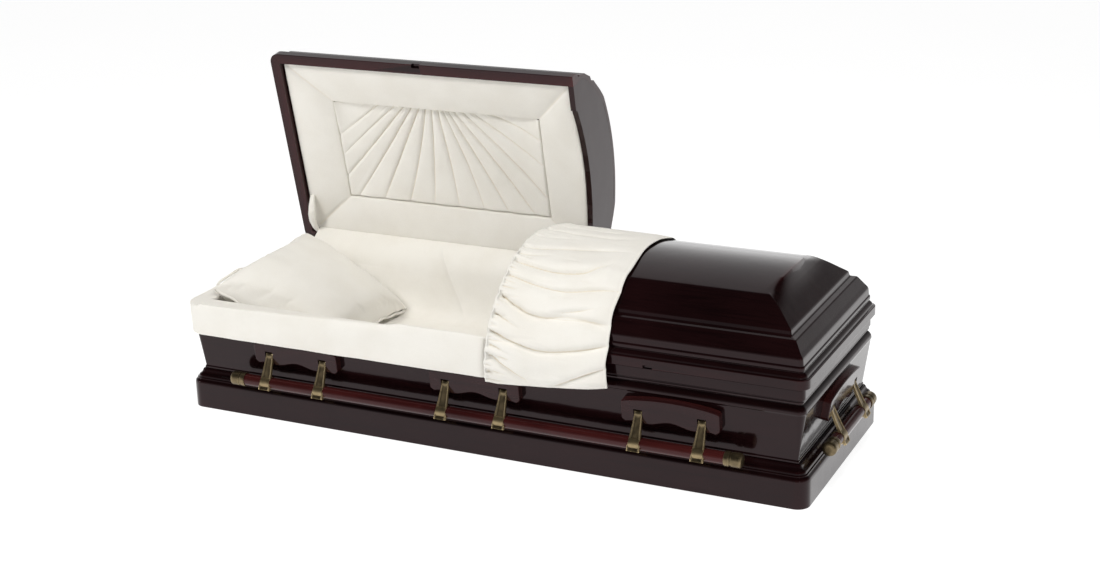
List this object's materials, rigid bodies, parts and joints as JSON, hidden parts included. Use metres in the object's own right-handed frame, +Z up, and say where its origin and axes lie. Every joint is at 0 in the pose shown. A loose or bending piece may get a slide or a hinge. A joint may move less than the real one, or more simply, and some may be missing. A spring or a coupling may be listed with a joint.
{
  "type": "funeral casket",
  "caption": "Lacquered hardwood half-couch casket with moulded lids, cloth lining, pillow and swinging bar handles, head lid open.",
  "frame": {"origin": "centre of the flat underside", "axes": "+Z up, +X towards the foot end, -Y towards the front where the lids open"},
  "size_m": [2.21, 0.9545, 1.0808],
  "materials": {
    "mahogany_lacquer": "high-gloss dark mahogany lacquer, nearly black",
    "ivory_crepe": "soft ivory crepe cloth with a faint nap",
    "antique_bronze": "antiqued bronze with worn bright edges",
    "hinge_brass": "dull brass"
  },
  "bodies": {
    "case": {"base_moulding": "mahogany_lacquer", "bottom_board": "mahogany_lacquer", "case_walls": "mahogany_lacquer", "case_lining": "ivory_crepe", "mattress": "ivory_crepe", "pillow": "ivory_crepe", "ledge_cloth": "ivory_crepe", "head_hinge_case_leaf": "hinge_brass", "foot_hinge_case_leaf": "hinge_brass", "front_handle_plate_1": "mahogany_lacquer", "front_handle_plate_2": "mahogany_lacquer", "front_handle_plate_3": "mahogany_lacquer", "back_handle_plate_1": "mahogany_lacquer", "back_handle_plate_2": "mahogany_lacquer", "back_handle_plate_3": "mahogany_lacquer", "foot_end_handle_plate_1": "mahogany_lacquer", "head_end_handle_plate_1": "mahogany_lacquer"},
    "head_lid_assembly": {"head_lid": "mahogany_lacquer", "head_lid_end_board": "mahogany_lacquer", "head_lid_surround": "ivory_crepe", "head_lid_sunburst": "ivory_crepe", "lid_stay_cover": "ivory_crepe", "head_hinge_lid_leaf": "hinge_brass"},
    "foot_lid_assembly": {"foot_lid": "mahogany_lacquer", "foot_lid_end_board": "mahogany_lacquer", "foot_lid_lining": "ivory_crepe", "foot_lid_drape": "ivory_crepe", "foot_hinge_lid_leaf": "hinge_brass"},
    "front_handle": {"front_bar": "mahogany_lacquer", "front_bar_cap_a": "antique_bronze", "front_bar_cap_b": "antique_bronze", "front_arm_1": "antique_bronze", "front_arm_2": "antique_bronze", "front_arm_3": "antique_bronze", "front_arm_4": "antique_bronze", "front_arm_5": "antique_bronze", "front_arm_6": "antique_bronze"},
    "back_handle": {"back_bar": "mahogany_lacquer", "back_bar_cap_a": "antique_bronze", "back_bar_cap_b": "antique_bronze", "back_arm_1": "antique_bronze", "back_arm_2": "antique_bronze", "back_arm_3": "antique_bronze", "back_arm_4": "antique_bronze", "back_arm_5": "antique_bronze", "back_arm_6": "antique_bronze"},
    "foot_end_handle": {"foot_end_bar": "mahogany_lacquer", "foot_end_bar_cap_a": "antique_bronze", "foot_end_bar_cap_b": "antique_bronze", "foot_end_arm_1": "antique_bronze", "foot_end_arm_2": "antique_bronze"},
    "head_end_handle": {"head_end_bar": "mahogany_lacquer", "head_end_bar_cap_a": "antique_bronze", "head_end_bar_cap_b": "antique_bronze", "head_end_arm_1": "antique_bronze", "head_end_arm_2": "antique_bronze"}
  },
  "joints": [
    {"name": "head_lid_hinge", "type": "hinge", "parent": "case", "child": "head_lid_assembly", "pos_m": [0, 0.36645, 0.3635], "axis": [-1, 0, 0], "range_deg": [-78, 0]},
    {"name": "foot_lid_hinge", "type": "hinge", "parent": "case", "child": "foot_lid_assembly", "pos_m": [0, 0.36645, 0.3635], "axis": [-1, 0, 0], "range_deg": [0, 78]},
    {"name": "front_bar_swing", "type": "hinge", "parent": "case", "child": "front_handle", "pos_m": [0, -0.35342, 0.222], "axis": [-1, 0, 0], "range_deg": [0, 70]},
    {"name": "back_bar_swing", "type": "hinge", "parent": "case", "child": "back_handle", "pos_m": [0, 0.35342, 0.222], "axis": [1, 0, 0], "range_deg": [0, 70]},
    {"name": "foot_end_bar_swing", "type": "hinge", "parent": "case", "child": "foot_end_handle", "pos_m": [1.05067, 0, 0.222], "axis": [0, -1, 0], "range_deg": [0, 70]},
    {"name": "head_end_bar_swing", "type": "hinge", "parent": "case", "child": "head_end_handle", "pos_m": [-1.05067, 0, 0.222], "axis": [0, 1, 0], "range_deg": [0, 70]}
  ]
}
